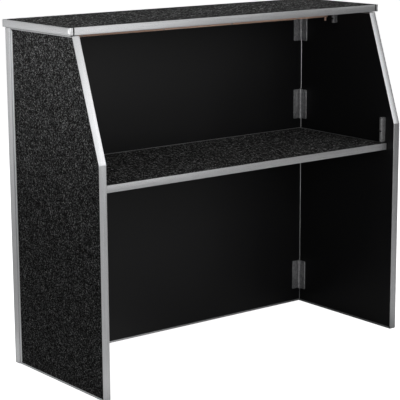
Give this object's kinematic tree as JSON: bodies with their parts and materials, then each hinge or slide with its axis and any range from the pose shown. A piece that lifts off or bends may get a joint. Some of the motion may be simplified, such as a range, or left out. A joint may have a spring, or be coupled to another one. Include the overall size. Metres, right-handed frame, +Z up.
{
  "type": "folding portable bar",
  "caption": "Free-standing bar with hinged side panels, a lift-off counter and a pull-out inner shelf locked by barrel bolts, and aluminium-edged black speckled laminate boards.",
  "frame": {"origin": "on the floor, under the middle of the bar's overall box", "axes": "+X along the counter's length, to the bartender's right as they face the customer; +Y towards the customer; +Z up"},
  "size_m": [1.219, 0.488, 1.078],
  "materials": {
    "panel_laminate": "black laminate over a wood core, fine grey speckle on the outer face and plain satin inside",
    "counter_laminate": "black laminate with a fine grey speckle over a wood core",
    "shelf_laminate": "black laminate with a fine grey speckle over a wood core",
    "edge_trim": "satin brushed channel",
    "hinge_steel": "zinc-plated steel",
    "bolt_steel": "zinc-plated steel",
    "batten_wood": "planed bare wood",
    "ledge_wood": "black painted wood",
    "seat_rubber": "matte black rubber"
  },
  "bodies": {
    "folding_body": {"front_panel_board": "panel_laminate", "front_panel_trim_bottom": "edge_trim", "front_panel_trim_left": "edge_trim", "front_panel_trim_right": "edge_trim", "front_panel_trim_top": "edge_trim", "left_counter_bolt_housing": "bolt_steel", "left_lower_hinge_front_leaf": "hinge_steel", "left_lower_hinge_pin": "hinge_steel", "left_lower_hinge_side_leaf": "hinge_steel", "left_middle_hinge_front_leaf": "hinge_steel", "left_middle_hinge_pin": "hinge_steel", "left_middle_hinge_side_leaf": "hinge_steel", "left_panel_board": "panel_laminate", "left_panel_trim_bottom": "edge_trim", "left_panel_trim_edge": "edge_trim", "left_panel_trim_rear": "edge_trim", "left_panel_trim_slope": "edge_trim", "left_panel_trim_top": "edge_trim", "left_shelf_bolt_housing": "bolt_steel", "left_shelf_ledge": "ledge_wood", "left_upper_hinge_front_leaf": "hinge_steel", "left_upper_hinge_pin": "hinge_steel", "left_upper_hinge_side_leaf": "hinge_steel", "rear_shelf_ledge": "ledge_wood", "right_counter_bolt_housing": "bolt_steel", "right_lower_hinge_front_leaf": "hinge_steel", "right_lower_hinge_pin": "hinge_steel", "right_lower_hinge_side_leaf": "hinge_steel", "right_middle_hinge_front_leaf": "hinge_steel", "right_middle_hinge_pin": "hinge_steel", "right_middle_hinge_side_leaf": "hinge_steel", "right_panel_board": "panel_laminate", "right_panel_trim_bottom": "edge_trim", "right_panel_trim_edge": "edge_trim", "right_panel_trim_rear": "edge_trim", "right_panel_trim_slope": "edge_trim", "right_panel_trim_top": "edge_trim", "right_shelf_bolt_housing": "bolt_steel", "right_shelf_ledge": "ledge_wood", "right_upper_hinge_front_leaf": "hinge_steel", "right_upper_hinge_pin": "hinge_steel", "right_upper_hinge_side_leaf": "hinge_steel"},
    "counter": {"counter_batten": "batten_wood", "counter_board": "counter_laminate", "counter_trim_front": "edge_trim", "counter_trim_left": "edge_trim", "counter_trim_rear": "edge_trim", "counter_trim_right": "edge_trim", "left_seat_strip": "seat_rubber", "rear_seat_strip": "seat_rubber", "right_seat_strip": "seat_rubber"},
    "shelf": {"shelf_board": "shelf_laminate", "shelf_trim_front": "edge_trim", "shelf_trim_left": "edge_trim", "shelf_trim_rear": "edge_trim", "shelf_trim_right": "edge_trim"},
    "left_shelf_bolt": {"left_shelf_bolt_rod": "bolt_steel"},
    "right_shelf_bolt": {"right_shelf_bolt_rod": "bolt_steel"},
    "left_counter_bolt": {"left_counter_bolt_rod": "bolt_steel"},
    "right_counter_bolt": {"right_counter_bolt_rod": "bolt_steel"}
  },
  "joints": [
    {"name": "counter_lift", "type": "slide", "parent": "folding_body", "child": "counter", "axis": [0, 0, 1], "range_m": [0, 0.2]},
    {"name": "shelf_pull", "type": "slide", "parent": "folding_body", "child": "shelf", "axis": [0, -1, 0], "range_m": [0, 0.5]},
    {"name": "left_shelf_bolt_slide", "type": "slide", "parent": "folding_body", "child": "left_shelf_bolt", "axis": [0, 0, 1], "range_m": [-0.012, 0]},
    {"name": "right_shelf_bolt_slide", "type": "slide", "parent": "folding_body", "child": "right_shelf_bolt", "axis": [0, 0, 1], "range_m": [-0.012, 0]},
    {"name": "left_counter_bolt_slide", "type": "slide", "parent": "folding_body", "child": "left_counter_bolt", "axis": [0, 0, 1], "range_m": [0, 0.012]},
    {"name": "right_counter_bolt_slide", "type": "slide", "parent": "folding_body", "child": "right_counter_bolt", "axis": [0, 0, 1], "range_m": [0, 0.012]}
  ]
}
